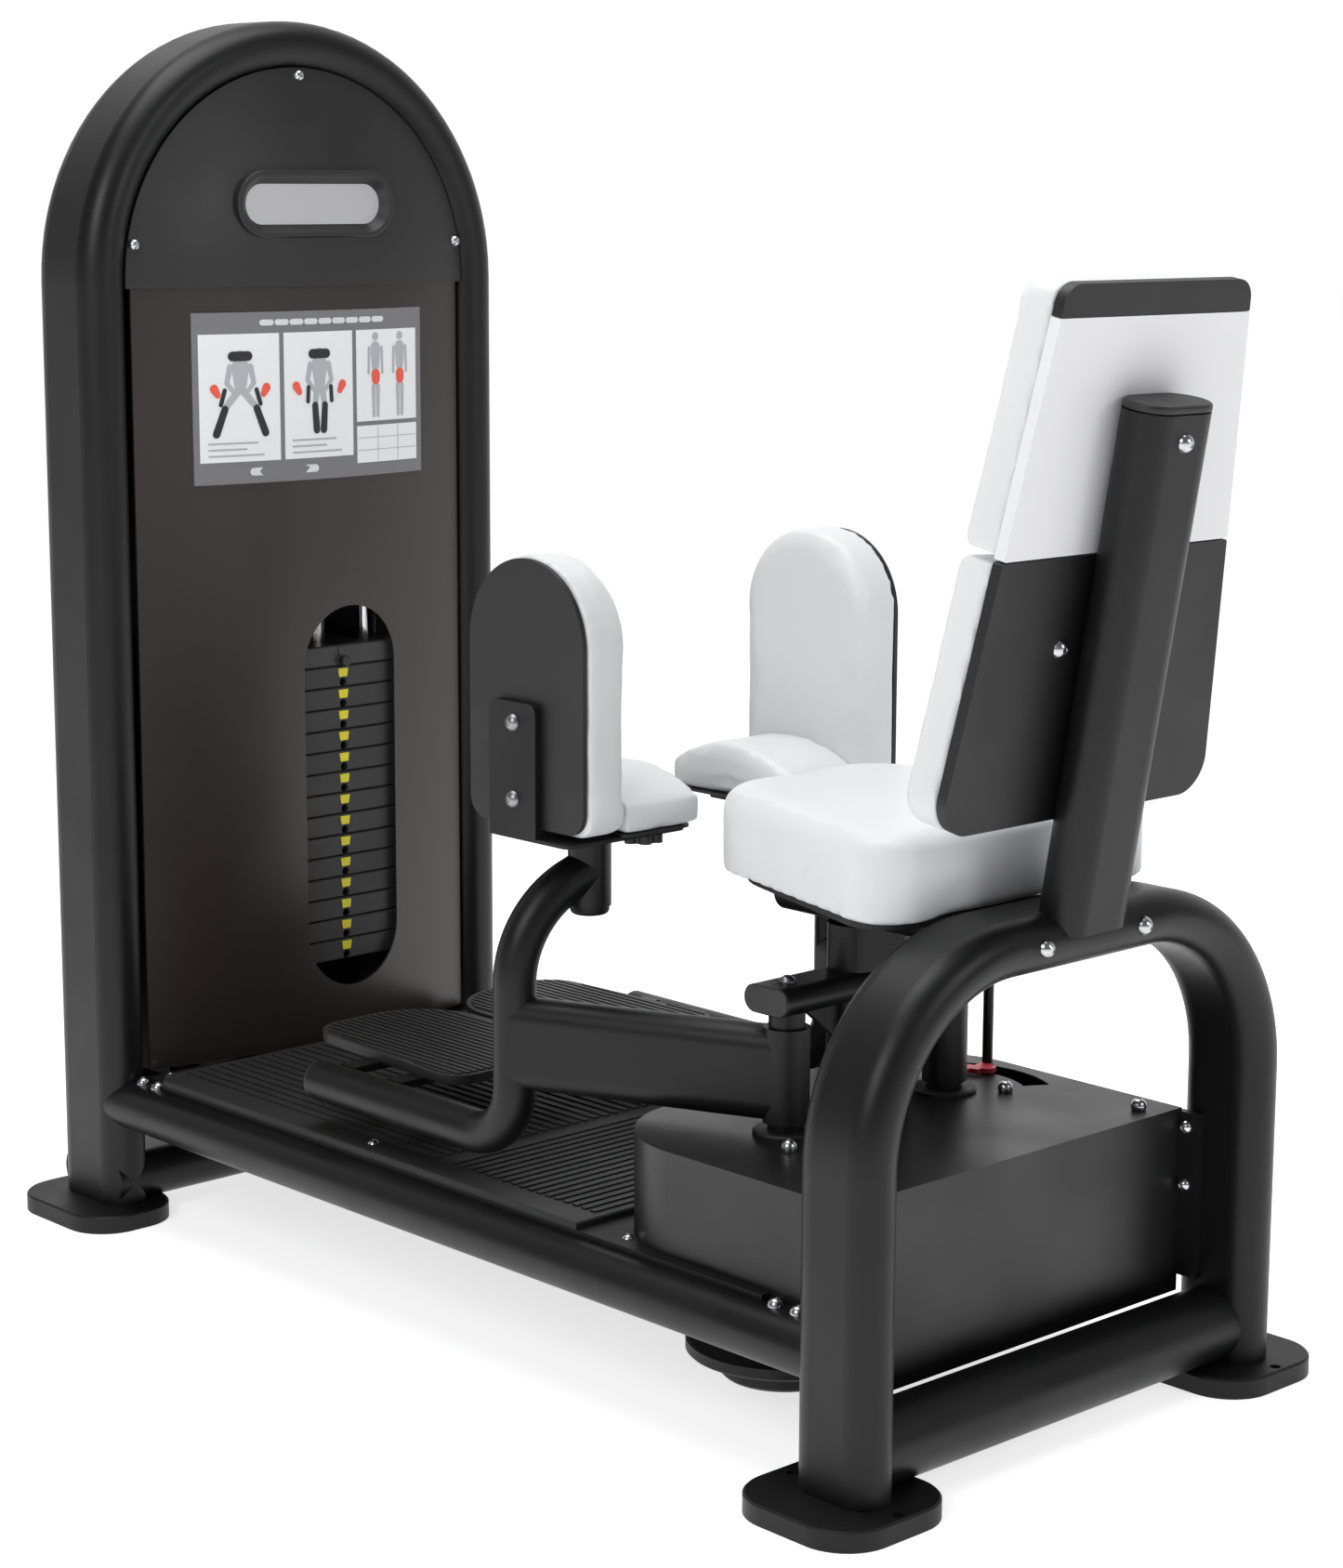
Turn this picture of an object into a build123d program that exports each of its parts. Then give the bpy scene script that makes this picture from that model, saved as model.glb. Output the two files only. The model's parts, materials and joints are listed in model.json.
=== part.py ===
from build123d import *
import math
import os

# Hip abductor machine: weight tower in front of the user, seat over a rear arch,
# two coupled swinging arms with foot rests and thigh pads.
# Millimetres. X across (user's right is +), Y from the seat towards the tower, Z up, floor at 0.
# Worked out with Y = 0 in the middle of the rear arch, then moved back by Y_MID when written.
Y_MID = 578.4

# Frame tubes, flat-oval section
TOWER_Y = 1206.0
TOWER_OUT = 291.0
TOWER_TOP = 1361.0
TOWER_T = 56.0
TOWER_D = 117.0
ARCH_OUT = 302.0
ARCH_TOP = 526.0
ARCH_T = 53.0
ARCH_D = 96.0
ARCH_BEND = 178.0
WALL = 4.0
FOOT_H = 20.0
FOOT_R = 50.0
FOOT_HOLE_R = 5.5
# Foot plates: centre x, centre y, width, length, hole distance from the tube's middle
REAR_FOOT = (275.0, 4.0, 154.0, 160.0, 66.0)
TOWER_FOOT = (276.0, 1207.0, 124.0, 178.0, 74.0)
CROSS_R = 38.0
REAR_CROSS_Z = 55.0
BASE_Z = 45.0
RAIL_X = 242.0
RAIL_W = 96.0
RAIL_H = 53.0
RAIL_Z = 137.5
RAIL_Y0 = 39.5

# Deck
DECK_X = 256.0
DECK_TOP = 170.0
DECK_T = 6.0
MAT_TOP = 177.0
MAT_Y0 = 388.0
MAT_Y1 = 1112.0
MAT_SPLIT = 640.0
RIB = 1.6
SCREW_X = 234.0

# Tower covers
HOOD_R = 239.0
HOOD_Z = 1064.0
SPRING_Z = 1070.0
COVER_MID_Y = 1119.0
COVER_BOW_R = 789.0
BADGE_X = 2.0
BADGE_Y = 1122.5
SHEET = 3.0
SHROUD_X = 232.0
WINDOW_X = 42.0
WINDOW_W = 138.0
WINDOW_Z0 = 235.0
WINDOW_Z1 = 692.0

# Weight stack
STACK_X = 42.0
STACK_Y = 1196.0
PLATE_X = 200.0
PLATE_Y = 110.0
PITCH = 25.4
PLATE_T = 24.6
PLATES = 15
PLATE_Z0 = 263.3
GUIDE_DX = 76.0
GUIDE_R = 12.5
STEM_R = 12.0
BEAM_Z = 1030.0

# Cable and pulleys
CABLE_R = 3.0
CABLE_Z = 92.0
PULLEY_R = 45.0
LOW_PULLEY_R = 34.0
DRUM_R = 60.0
TOP_PULLEY_Z = 1100.0

# Seat and back
SEAT_BOT = 520.0
SEAT_TOP = 602.0
RECLINE = 9.82
POST_Y = -31.0
POST_Z = 529.0
POST_W = 96.0
POST_T = 53.0

# Arms
PIVOT_X = 114.0
PIVOT_Y = 240.0
SHAFT_R = 18.0
BAR_Z = 410.0
BAR_H = 28.0
BAR_D = 60.0
BAR_X = 140.0
UP_X = 230.0
UP_Y = 510.0
TUBE_R = 22.0
TUBE_WALL = 3.5
FOOT_TUBE_Z = 226.0
FOOT_TUBE_END = 833.0
BEND_R = 62.0
BEAM_LOW = 285.0
BEAM_HIGH = 380.0
BEAM_W = 44.0
PAD_PIVOT_X = 145.0
PAD_PIVOT_Y = 492.0
SLEEVE_Z0 = 464.0
SLEEVE_Z1 = 538.0
GEAR_TEETH = 38
GEAR_Z0 = 104.0
GEAR_Z1 = 110.0
# Arm hubs below the gears: a wide disc and a smaller boss
HUB_R = 97.0
HUB_Z0 = 54.0
HUB_Z1 = 68.0
BOSS_R = 63.0
BOSS_Z0 = 30.0

# Housing over the pivots
HOUSE_X = 243.0
HOUSE_Y0 = 36.0
HOUSE_Y1 = 388.0
HOUSE_TOP = 273.0
HOUSE_R = 115.0
SLOT_R0 = 84.0
SLOT_R1 = 112.0
LEVER_R = 98.0
LEVER_DEG = 15.0


LOW = (Align.CENTER, Align.CENTER, Align.MIN)


def box(x0, x1, y0, y1, z0, z1):
    mid = Pos((x0 + x1) / 2, (y0 + y1) / 2, (z0 + z1) / 2)
    return mid * Box(x1 - x0, y1 - y0, z1 - z0)


def cyl(x, y, z0, z1, r):
    return Pos(x, y, (z0 + z1) / 2) * Cylinder(r, z1 - z0)


def cyl_x(x0, x1, y, z, r):
    return Pos((x0 + x1) / 2, y, z) * Rot(0, 90, 0) * Cylinder(r, x1 - x0)


def cyl_y(x, y0, y1, z, r):
    return Pos(x, (y0 + y1) / 2, z) * Rot(90, 0, 0) * Cylinder(r, y1 - y0)


def prism(points, plane, depth):
    return extrude(plane * make_face(Polyline(*points, close=True)), depth)


def mirror_x(solid):
    return mirror(solid, about=Plane.YZ)


def save(name, *pieces):
    shift = Location((0, -Y_MID, 0))
    flat = []
    for piece in pieces:
        for solid in piece.solids():
            flat.append(Solid(solid.wrapped).moved(shift))
    group = Compound(flat) if len(flat) > 1 else flat[0]
    export_step(group, "parts/" + name + ".step")


def oval_sweep(path, plane, long, short, wall):
    ring = plane * SlotOverall(long, short)
    if wall:
        ring = ring - plane * SlotOverall(long - 2 * wall, short - 2 * wall)
    return sweep(ring, path=path)


def dome(r, h):
    # Low button head standing on the XY plane.
    ball_r = (r * r + h * h) / (2 * h)
    head = Pos(0, 0, h - ball_r) * Sphere(ball_r)
    head = head & Pos(0, 0, h / 2) * Box(4 * r, 4 * r, h)
    return head - Pos(0, 0, h) * Cylinder(r * 0.34, 2.4)


# ---------------------------------------------------------------- frame

def tower_tube(wall):
    mid = TOWER_OUT - TOWER_T / 2
    z1 = TOWER_TOP - TOWER_OUT
    left = Line((-mid, TOWER_Y, FOOT_H), (-mid, TOWER_Y, z1))
    top = ThreePointArc((-mid, TOWER_Y, z1), (0, TOWER_Y, z1 + mid), (mid, TOWER_Y, z1))
    right = Line((mid, TOWER_Y, z1), (mid, TOWER_Y, FOOT_H))
    plane = Plane(origin=(-mid, TOWER_Y, FOOT_H), x_dir=(0, 1, 0), z_dir=(0, 0, 1))
    return oval_sweep(Wire([left, top, right]), plane, TOWER_D, TOWER_T, wall)


def arch_tube(wall):
    mid = ARCH_OUT - ARCH_T / 2
    z1 = ARCH_TOP - ARCH_T / 2
    r = ARCH_BEND
    k = r * (1 - math.sqrt(0.5))
    a = Line((-mid, 0, FOOT_H), (-mid, 0, z1 - r))
    b = ThreePointArc((-mid, 0, z1 - r), (-mid + k, 0, z1 - k), (-mid + r, 0, z1))
    c = Line((-mid + r, 0, z1), (mid - r, 0, z1))
    d = ThreePointArc((mid - r, 0, z1), (mid - k, 0, z1 - k), (mid, 0, z1 - r))
    e = Line((mid, 0, z1 - r), (mid, 0, FOOT_H))
    plane = Plane(origin=(-mid, 0, FOOT_H), x_dir=(0, 1, 0), z_dir=(0, 0, 1))
    return oval_sweep(Wire([a, b, c, d, e]), plane, ARCH_D, ARCH_T, wall)


def cross_tube(y, z, reach, wall):
    tube = cyl_x(-reach, reach, y, z, CROSS_R)
    if wall:
        tube = tube - cyl_x(-reach - 1, reach + 1, y, z, CROSS_R - wall)
    return tube


def base_member(wall):
    reach = TOWER_OUT - 10
    plane = Plane(origin=(-reach, TOWER_Y, BASE_Z), x_dir=(0, 1, 0), z_dir=(1, 0, 0))
    ring = plane * SlotOverall(TOWER_D, TOWER_T)
    if wall:
        ring = ring - plane * SlotOverall(TOWER_D - 2 * wall, TOWER_T - 2 * wall)
    return extrude(ring, 2 * reach)


def rail(wall):
    plane = Plane(origin=(-RAIL_X, RAIL_Y0, RAIL_Z), x_dir=(1, 0, 0), z_dir=(0, 1, 0))
    ring = plane * SlotOverall(RAIL_W, RAIL_H)
    if wall:
        ring = ring - plane * SlotOverall(RAIL_W - 2 * wall, RAIL_H - 2 * wall)
    return extrude(ring, TOWER_Y - RAIL_Y0)


def foot_pads():
    pads = []
    for foot, tube_x, tube_y in ((REAR_FOOT, ARCH_OUT - ARCH_T / 2, 0), (TOWER_FOOT, TOWER_OUT - TOWER_T / 2, TOWER_Y)):
        x, y, wide, long, hole_dy = foot
        pad = extrude(Pos(x, y) * RectangleRounded(wide, long, FOOT_R), FOOT_H)
        pad = chamfer(pad.faces().sort_by(Axis.Z)[-1].edges(), 2)
        for dy in (-hole_dy, hole_dy):
            pad = pad - cyl(tube_x, tube_y + dy, -1, FOOT_H + 1, FOOT_HOLE_R)
        pads.append(pad)
        pads.append(mirror_x(pad))
    return pads


def frame_parts():
    tower_full = tower_tube(0)
    arch_full = arch_tube(0)
    tower = tower_tube(WALL) + (base_member(WALL) - tower_full)
    tower = tower + (stack_base() - tower_full) + (tower_beam() - tower_full)
    pads = foot_pads()
    save("tower_frame", tower - pads)
    rear = arch_tube(WALL) + (cross_tube(0, REAR_CROSS_Z, ARCH_OUT - 10, WALL) - arch_full)
    save("rear_frame", rear - pads)
    full_rail = rail(0)
    end_plane = Plane(origin=(-RAIL_X, RAIL_Y0, RAIL_Z), x_dir=(1, 0, 0), z_dir=(0, 1, 0))
    one = rail(WALL) + extrude(end_plane * SlotOverall(RAIL_W, RAIL_H), 3)
    one = one - tower_full - arch_full
    rails = one + mirror_x(one)
    for y in (470, 800, 1075):
        bar = box(-RAIL_X, RAIL_X, y - 20, y + 20, 124, 164)
        bar = bar - box(-RAIL_X, RAIL_X, y - 17, y + 17, 127, 161)
        rails = rails + (bar - full_rail - mirror_x(full_rail))
    save("base_rails", rails)
    save("foot_pads", *pads)
    return tower_full, arch_full


# ---------------------------------------------------------------- deck

def deck():
    plate = box(-DECK_X, DECK_X, 40, 1139, DECK_TOP - DECK_T, DECK_TOP)
    for sx in (-1, 1):
        for y0, y1 in ((0, 128), (1098, 1200)):
            edge = box(min(sx * 246, sx * 300), max(sx * 246, sx * 300), y0, y1, 150, 180)
            plate = plate - edge
        plate = plate - box(min(sx * 234, sx * 300), max(sx * 234, sx * 300), 0, 62, 150, 180)
        plate = plate - cyl(sx * PIVOT_X, PIVOT_Y, 150, 180, 22)
    save("deck_plate", plate)
    mat = box(-DECK_X, DECK_X, MAT_Y0, MAT_Y1, DECK_TOP, MAT_TOP)
    mat = chamfer(mat.faces().sort_by(Axis.Z)[-1].edges(), 1.5)
    for sx in (-1, 1):
        mat = mat - box(min(sx * 243, sx * 300), max(sx * 243, sx * 300), 1096, 1200, 150, 190)
    ribs = []
    count = 17
    pitch = (MAT_SPLIT - MAT_Y0 - 20) / count
    for i in range(count):
        y = MAT_Y0 + 12 + i * pitch
        ribs.append(box(-220, 220, y, y + pitch * 0.55, MAT_TOP, MAT_TOP + RIB))
    count = 30
    pitch = 440.0 / count
    for i in range(count):
        x = -220 + i * pitch
        ribs.append(box(x, x + pitch * 0.55, MAT_SPLIT + 8, MAT_Y1 - 12, MAT_TOP, MAT_TOP + RIB))
    save("deck_mat", mat + ribs)


# ---------------------------------------------------------------- tower covers

def cover_y(x):
    # Front face of the bowed covers at x.
    return COVER_MID_Y + COVER_BOW_R - math.sqrt(COVER_BOW_R * COVER_BOW_R - x * x)


def hood_shell(proud, thick):
    # Cap bowed both ways, like a shallow dish standing on edge.
    ball = Pos(0, COVER_MID_Y + COVER_BOW_R, SPRING_Z)
    return ball * (Sphere(COVER_BOW_R + proud) - Sphere(COVER_BOW_R + proud - thick))


def curved_sheet(inset, thick, z0, z1):
    # Wide sheet bowed towards the user; inset moves its front face back from the hood's.
    half = 300.0
    edge = cover_y(half) + inset
    mid = cover_y(0) + inset
    front = ThreePointArc((-half, edge, z0), (0, mid, z0), (half, edge, z0))
    back = ThreePointArc((half, edge + thick, z0), (0, mid + thick, z0), (-half, edge + thick, z0))
    side_a = Line((half, edge, z0), (half, edge + thick, z0))
    side_b = Line((-half, edge + thick, z0), (-half, edge, z0))
    face = make_face(Wire([front, side_a, back, side_b]))
    return extrude(face, z1 - z0, dir=(0, 0, 1))


def obround_y(x, z, long, short, upright, y0, y1):
    plane = Plane(origin=(x, y0, z), x_dir=(1, 0, 0), z_dir=(0, 1, 0))
    shape = SlotOverall(long, short)
    if upright:
        shape = Rot(0, 0, 90) * shape
    return extrude(plane * shape, y1 - y0)


def tombstone_y(half, z0, y0, y1):
    top = ThreePointArc((half, SPRING_Z), (0, SPRING_Z + half), (-half, SPRING_Z))
    low = Polyline((-half, SPRING_Z), (-half, z0), (half, z0), (half, SPRING_Z))
    plane = Plane(origin=(0, y0, 0), x_dir=(-1, 0, 0), z_dir=(0, 1, 0))
    return extrude(plane * make_face(Wire([*top.edges(), *low.edges()])), y1 - y0)


def badge_recess():
    # Sloping sides down to the badge plate.
    plane = Plane(origin=(BADGE_X, BADGE_Y, 1156), x_dir=(1, 0, 0), z_dir=(0, 1, 0))
    slope = extrude(plane * SlotOverall(208, 64), 9, taper=45)
    return slope + obround_y(BADGE_X, 1156, 190, 46, False, BADGE_Y + 8.9, 1200)


def tower_covers():
    hood = hood_shell(0, SHEET) & tombstone_y(HOOD_R, HOOD_Z, 1050, 1200)
    hood = max(hood.solids(), key=lambda s: s.volume)
    rim = obround_y(BADGE_X, 1156, 221, 76, False, BADGE_Y, 1138)
    rim = fillet(rim.faces().sort_by(Axis.Y)[0].edges(), 2)
    hood = hood - obround_y(BADGE_X, 1156, 220, 75, False, 1000, 1300) + rim - badge_recess()
    save("hood", hood)
    save("badge", obround_y(BADGE_X, 1156, 189.4, 45.4, False, BADGE_Y + 9, BADGE_Y + 12))
    shroud = curved_sheet(4, SHEET, 172, 1072) & box(-SHROUD_X, SHROUD_X, 1050, 1250, 172, 1072)
    window_mid = (WINDOW_Z0 + WINDOW_Z1) / 2
    window = obround_y(WINDOW_X, window_mid, WINDOW_Z1 - WINDOW_Z0, WINDOW_W, True, 1000, 1300)
    save("shroud_front", shroud - window)
    placard = curved_sheet(2.2, 1.6, 843, 1036)
    save("placard", placard & box(-165, 161, 1050, 1200, 840, 1040))
    rear = tombstone_y(233, 128, 1256, 1259)
    save("shroud_rear", rear)
    return hood


# ---------------------------------------------------------------- weight stack

def weight_plate(i):
    z = PLATE_Z0 + i * PITCH
    plate = box(STACK_X - PLATE_X / 2, STACK_X + PLATE_X / 2, STACK_Y - PLATE_Y / 2,
                STACK_Y + PLATE_Y / 2, z, z + PLATE_T)
    plate = chamfer(plate.edges().filter_by(Axis.X), 1.5)
    for sx in (-1, 1):
        plate = plate - cyl(STACK_X + sx * GUIDE_DX, STACK_Y, z - 1, z + PITCH, GUIDE_R + 0.5)
    hole_z = z + PLATE_T / 2 - 7
    return plate - cyl_y(STACK_X, STACK_Y - PLATE_Y / 2 - 1, STACK_Y, hole_z, 5)


def label(i):
    z = PLATE_Z0 + i * PITCH + 3
    y = STACK_Y - PLATE_Y / 2
    points = [(STACK_X - 7, z + 19), (STACK_X + 7, z + 19), (STACK_X + 5.5, z + 9), (STACK_X - 5.5, z + 9)]
    plane = Plane(origin=(0, y, 0), x_dir=(1, 0, 0), z_dir=(0, -1, 0))
    return prism(points, plane, 1.2)


def weight_stack():
    lower = []
    labels = []
    y_front = STACK_Y - PLATE_Y / 2
    for i in range(PLATES - 1):
        z = PLATE_Z0 + i * PITCH + PLATE_T / 2
        plate = weight_plate(i) - cyl(STACK_X, STACK_Y, z - 40, z + 40, STEM_R + 1)
        lower.append(plate)
        labels.append(label(i))
    save("weight_plates", *lower)
    save("plate_labels", *labels)
    top = weight_plate(PLATES - 1)
    z_top = PLATE_Z0 + PLATES * PITCH - PITCH + PLATE_T
    save("top_plate", top - cyl(STACK_X, STACK_Y, 500, 800, STEM_R), label(PLATES - 1))
    stem = cyl(STACK_X, STACK_Y, PLATE_Z0 + 4, z_top + 34, STEM_R)
    for i in range(PLATES):
        z = PLATE_Z0 + i * PITCH + PLATE_T / 2 - 7
        stem = stem - cyl_y(STACK_X, y_front - 10, STACK_Y + 20, z, 5)
    stem = stem - cyl(STACK_X, STACK_Y, z_top + 20, z_top + 40, CABLE_R)
    save("selector_stem", stem)
    rods = []
    bumpers = []
    for sx in (-1, 1):
        x = STACK_X + sx * GUIDE_DX
        rods.append(cyl(x, STACK_Y, 182, BEAM_Z - 20, GUIDE_R))
        bumpers.append(cyl(x, STACK_Y, 182, PLATE_Z0, 26) - cyl(x, STACK_Y, 180, 270, GUIDE_R))
    save("guide_rods", *rods)
    save("stack_bumpers", *bumpers)
    pin_z = z_top - PLATE_T / 2 - 7
    pin = cyl_y(STACK_X, y_front - 4, STACK_Y + 8, pin_z, 4.95)
    head = cyl_y(STACK_X, y_front - 9, y_front - 4, pin_z, 6.5)
    save("selector_pin", pin + fillet(head.faces().sort_by(Axis.Y)[0].edges(), 2))


def stack_base():
    base = box(STACK_X - 125, STACK_X + 125, 1150, 1246, 176, 182)
    for x in (STACK_X - 125, STACK_X + 119):
        base = base + box(x, x + 6, 1160, 1246, 60, 176)
    return base - base_member(0)


def tower_beam():
    beam = box(-235, 235, 1178, 1234, BEAM_Z - 20, BEAM_Z + 20)
    beam = beam - box(-235, 235, 1182, 1230, BEAM_Z - 16, BEAM_Z + 16)
    for x in (-PIVOT_X - DRUM_R - CABLE_R, STACK_X):
        beam = beam - cyl(x, STACK_Y, BEAM_Z - 30, BEAM_Z + 30, 8)
    return beam


# ---------------------------------------------------------------- cable and pulleys

def wheel(r, width, bore):
    disc = Cylinder(r + 5, width)
    groove = Torus(r + CABLE_R, CABLE_R + 1.2)
    rim = Cylinder(r + 20, 2 * CABLE_R + 2.4) - Cylinder(r + CABLE_R, 2 * CABLE_R + 2.4)
    disc = disc - groove - rim
    return disc - Cylinder(bore, width + 2)


def cable_route():
    x = -PIVOT_X - DRUM_R - CABLE_R
    low_y = STACK_Y - LOW_PULLEY_R - CABLE_R
    low_z = CABLE_Z + LOW_PULLEY_R + CABLE_R
    r = PULLEY_R + CABLE_R
    z2 = TOP_PULLEY_Z
    rl = LOW_PULLEY_R + CABLE_R
    rd = DRUM_R + CABLE_R
    kl = rl * math.sqrt(0.5)
    k = r * math.sqrt(0.5)
    wrap = math.radians(100)
    half = wrap / 2
    px = -PIVOT_X
    start = (px - rd * math.cos(wrap), PIVOT_Y - rd * math.sin(wrap), CABLE_Z)
    middle = (px - rd * math.cos(half), PIVOT_Y - rd * math.sin(half), CABLE_Z)
    parts = [
        ThreePointArc(start, middle, (x, PIVOT_Y, CABLE_Z)),
        Line((x, PIVOT_Y, CABLE_Z), (x, low_y, CABLE_Z)),
        ThreePointArc((x, low_y, CABLE_Z), (x, low_y + kl, low_z - kl), (x, STACK_Y, low_z)),
        Line((x, STACK_Y, low_z), (x, STACK_Y, z2)),
        ThreePointArc((x, STACK_Y, z2), (x + r - k, STACK_Y, z2 + k), (x + r, STACK_Y, z2 + r)),
        Line((x + r, STACK_Y, z2 + r), (STACK_X - r, STACK_Y, z2 + r)),
        ThreePointArc((STACK_X - r, STACK_Y, z2 + r), (STACK_X - r + k, STACK_Y, z2 + k), (STACK_X, STACK_Y, z2)),
    ]
    plane = Plane(origin=start, z_dir=(math.sin(wrap), -math.cos(wrap), 0))
    return sweep(plane * Circle(CABLE_R), path=Wire(parts))


def cable_parts():
    save("cable", cable_route())
    z_top = PLATE_Z0 + PLATES * PITCH - PITCH + PLATE_T
    save("cable_drop", cyl(STACK_X, STACK_Y, z_top + 20, TOP_PULLEY_Z, CABLE_R))
    x = -PIVOT_X - DRUM_R - CABLE_R
    r = PULLEY_R + CABLE_R
    turn = Rot(90, 0, 0)
    centres = [x + r, STACK_X - r]
    names = ["top_pulley_outer", "top_pulley_inner"]
    brackets = []
    pins = []
    for cx, name in zip(centres, names):
        save(name, Pos(cx, STACK_Y, TOP_PULLEY_Z) * turn * wheel(PULLEY_R, 16, 8.05))
        for y in (STACK_Y - 16, STACK_Y + 10):
            ear = box(cx - 18, cx + 18, y, y + 6, BEAM_Z + 20, TOP_PULLEY_Z + 18)
            brackets.append(ear - cyl_y(cx, y - 1, y + 7, TOP_PULLEY_Z, 8))
        pins.append(cyl_y(cx, STACK_Y - 20, STACK_Y + 20, TOP_PULLEY_Z, 8))
    low_y = STACK_Y - LOW_PULLEY_R - CABLE_R
    low_z = CABLE_Z + LOW_PULLEY_R + CABLE_R
    save("lower_pulley", Pos(x, low_y, low_z) * Rot(0, 90, 0) * wheel(LOW_PULLEY_R, 16, 8.05))
    for bx in (x - 16, x + 10):
        ear = box(bx, bx + 6, low_y - 16, low_y + 16, low_z - 16, DECK_TOP - DECK_T)
        brackets.append(ear - cyl_x(bx - 1, bx + 7, low_y, low_z, 8))
    pins.append(cyl_x(x - 16.5, x + 16.5, low_y, low_z, 8))
    save("pulley_mounts", *brackets, *pins)


# ---------------------------------------------------------------- seat and back

def seat_outline(grow):
    g = grow
    pts = [(-212 - g, 30 - g), (212 + g, 30 - g), (117 + g, 366 + g), (-117 - g, 366 + g)]
    face = make_face(Polyline(*pts, close=True))
    rear = face.vertices().sort_by(Axis.Y)[:2]
    face = fillet(rear, 45)
    front = face.vertices().sort_by(Axis.Y)[-2:]
    return fillet(front, 92)


def seat_parts(arch_full):
    pad = extrude(Pos(0, 0, SEAT_BOT) * seat_outline(0), SEAT_TOP - SEAT_BOT)
    top = pad.faces().sort_by(Axis.Z)[-1]
    save("seat_pad", fillet(top.edges(), 20) - arch_full)
    board = extrude(Pos(0, 0, SEAT_BOT - 8.3) * seat_outline(-22), 8)
    save("seat_board", board)
    z1 = SEAT_BOT - 8.3
    plane = Plane(origin=(0, 0, z1 - 21), x_dir=(1, 0, 0), z_dir=(0, 1, 0))
    ring = plane * SlotOverall(96, 42) - plane * SlotOverall(89, 35)
    beam = extrude(ring, 326) - arch_full
    nose = Plane(origin=(0, 326, z1 - 42), z_dir=(0, 1, -1))
    beam = split(beam, nose, keep=Keep.BOTTOM)
    riser_plane = Pos(0, PIVOT_Y, BAR_Z + BAR_H / 2)
    riser = extrude(riser_plane * (SlotOverall(96, 53) - SlotOverall(89, 46)), z1 - 42 - BAR_Z - BAR_H / 2)
    save("seat_beam", beam + riser)


def back_plane():
    a = math.radians(RECLINE)
    return Plane(origin=(0, POST_Y, POST_Z), x_dir=(1, 0, 0), z_dir=(0, -math.cos(a), -math.sin(a)))


def back_outline(w0, w1, grow, low_r, high_r):
    half0 = 188 - (w0 - 78) * 0.122 + grow
    half1 = 188 - (w1 - 78) * 0.122 + grow
    face = make_face(Polyline((-half0, w0), (half0, w0), (half1, w1), (-half1, w1), close=True))
    low = face.vertices().sort_by(Axis.Y)[:2]
    face = fillet(low, low_r)
    high = face.vertices().sort_by(Axis.Y)[-2:]
    return fillet(high, high_r)


def back_slab(w0, w1, n0, n1, grow, low_r, high_r):
    plane = back_plane()
    base = plane.offset(-n1)
    return extrude(base * back_outline(w0, w1, grow, low_r, high_r), n1 - n0)


def back_parts(arch_full):
    a = math.radians(RECLINE)
    up = Plane(origin=(0, POST_Y, POST_Z), x_dir=(1, 0, 0), z_dir=(0, -math.sin(a), math.cos(a)))
    low = up.offset(-32)
    ring = low * SlotOverall(POST_W, POST_T) - low * SlotOverall(POST_W - 8, POST_T - 8)
    post = extrude(ring, 32 + 466) - arch_full
    post = post - box(-100, 100, -200, 100, 300, 505)
    save("back_post", max(post.solids(), key=lambda s: s.volume))
    cap = extrude(up.offset(466.2) * SlotOverall(POST_W, POST_T), 8)
    cap = fillet(cap.faces().sort_by(Axis.Z)[-1].edges(), 3)
    strip = back_slab(544.6, 574, 26.5, 38, 0, 1, 20)
    save("back_plates", back_slab(78, 329, 26.5, 38, 0, 34, 3), strip)
    save("back_shell", back_slab(330.5, 544, 26.5, 38, 0, 3, 1))
    lower = back_slab(74, 329, 38.3, 84, 3, 34, 5)
    upper = back_slab(331, 577, 38.3, 84, 3, 5, 22)
    front = Axis((0, 0, 0), (0, math.cos(a), math.sin(a)))
    save("back_pad_lower", fillet(lower.faces().sort_by(front)[-1].edges(), 14))
    save("back_pad_upper", fillet(upper.faces().sort_by(front)[-1].edges(), 14))
    return cap


# ---------------------------------------------------------------- arms

def radial():
    dx = UP_X - PIVOT_X
    dy = UP_Y - PIVOT_Y
    size = math.hypot(dx, dy)
    return dx / size, dy / size


def pad_pivot_xy():
    return -PAD_PIVOT_X, PAD_PIVOT_Y


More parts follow.
